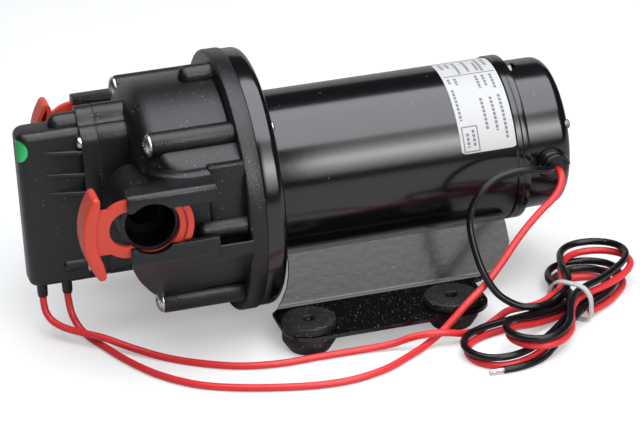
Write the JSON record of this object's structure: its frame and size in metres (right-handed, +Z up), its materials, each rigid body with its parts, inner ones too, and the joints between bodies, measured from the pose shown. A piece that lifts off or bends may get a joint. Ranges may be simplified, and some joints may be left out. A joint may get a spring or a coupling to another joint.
{
  "type": "caravan water pump",
  "caption": "Diaphragm water pump with a motor in a saddle base on rubber feet, plug-in ports with sliding clips, a pressure switch and tied supply leads.",
  "frame": {"origin": "middle of the four mounting holes, on the surface that the rubber feet stand on", "axes": "+X along the motor axis from the pump head to the motor's rear, +Y across the motor away from the leads, +Z up"},
  "size_m": [0.2426, 0.1576, 0.1087],
  "materials": {
    "gloss_paint": "gloss black paint",
    "cap_plastic": "semi-gloss moulded black plastic",
    "head_plastic": "satin glass-filled black plastic",
    "clip_plastic": "matt orange-red plastic",
    "steel": "bright plated steel",
    "copper": "bare copper",
    "magnet": "sintered ferrite",
    "carbon": "pressed carbon",
    "board": "brown board",
    "pale_plastic": "natural plastic",
    "switch_body": "black plastic",
    "button_red": "red plastic",
    "rubber": "black rubber",
    "label": "white film",
    "sticker": "green film",
    "lead_red": "red PVC insulation",
    "lead_black": "black PVC insulation",
    "tie": "translucent nylon"
  },
  "bodies": {
    "pump": {"motor_can": "gloss_paint", "motor_end_cap": "cap_plastic", "lead_grommet": "rubber", "field_magnets": "magnet", "front_bearing": "steel", "rear_bearing": "steel", "brush_holder": "board", "brushes": "carbon", "brush_springs": "steel", "through_bolts": "steel", "front_cup": "gloss_paint", "rating_label": "label", "diaphragm": "rubber", "drive_housing": "head_plastic", "valve_plate": "pale_plastic", "inlet_valves": "rubber", "outlet_valve": "rubber", "pump_head": "head_plastic", "head_screws": "steel", "switch_gasket": "rubber", "switch_diaphragm": "rubber", "switch_spring": "steel", "micro_switch": "switch_body", "switch_terminals": "copper", "switch_cover": "head_plastic", "cover_screws": "steel", "lead_sleeves": "rubber", "round_sticker": "sticker", "mounting_base": "gloss_paint", "rubber_feet": "rubber", "supply_lead": "lead_red", "link_lead": "lead_red", "return_lead": "lead_black", "return_tail": "lead_black", "red_hank": "lead_red", "black_hank": "lead_black", "cable_tie": "tie", "bare_end": "steel"},
    "inlet_clip": {"inlet_clip": "clip_plastic"},
    "outlet_clip": {"outlet_clip": "clip_plastic"},
    "rotor": {"armature_core": "steel", "armature_windings": "copper", "commutator": "copper", "motor_shaft": "steel", "drive_cam": "steel"},
    "wobble": {"cam_bearing": "steel", "wobble_plate": "head_plastic", "piston_caps": "head_plastic", "piston_screws": "steel"},
    "plunger": {"switch_plunger": "pale_plastic", "switch_button": "button_red"}
  },
  "joints": [
    {"name": "inlet_clip_slide", "type": "slide", "parent": "pump", "child": "inlet_clip", "axis": [1, 0, 0], "range_m": [0, 0.009]},
    {"name": "outlet_clip_slide", "type": "slide", "parent": "pump", "child": "outlet_clip", "axis": [1, 0, 0], "range_m": [0, 0.009]},
    {"name": "rotor_spin", "type": "hinge", "parent": "pump", "child": "rotor", "pos_m": [0, 0, 0.056], "axis": [1, 0, 0], "continuous": true},
    {"name": "wobble_tilt", "type": "hinge", "parent": "pump", "child": "wobble", "pos_m": [-0.0525, 0, 0.056], "axis": [0, 1, 0], "range_deg": [-3, 3], "stiffness_Nm_per_rad": 4},
    {"name": "plunger_slide", "type": "slide", "parent": "pump", "child": "plunger", "axis": [-1, 0, 0], "range_m": [0, 0.001], "stiffness_N_per_m": 500}
  ]
}
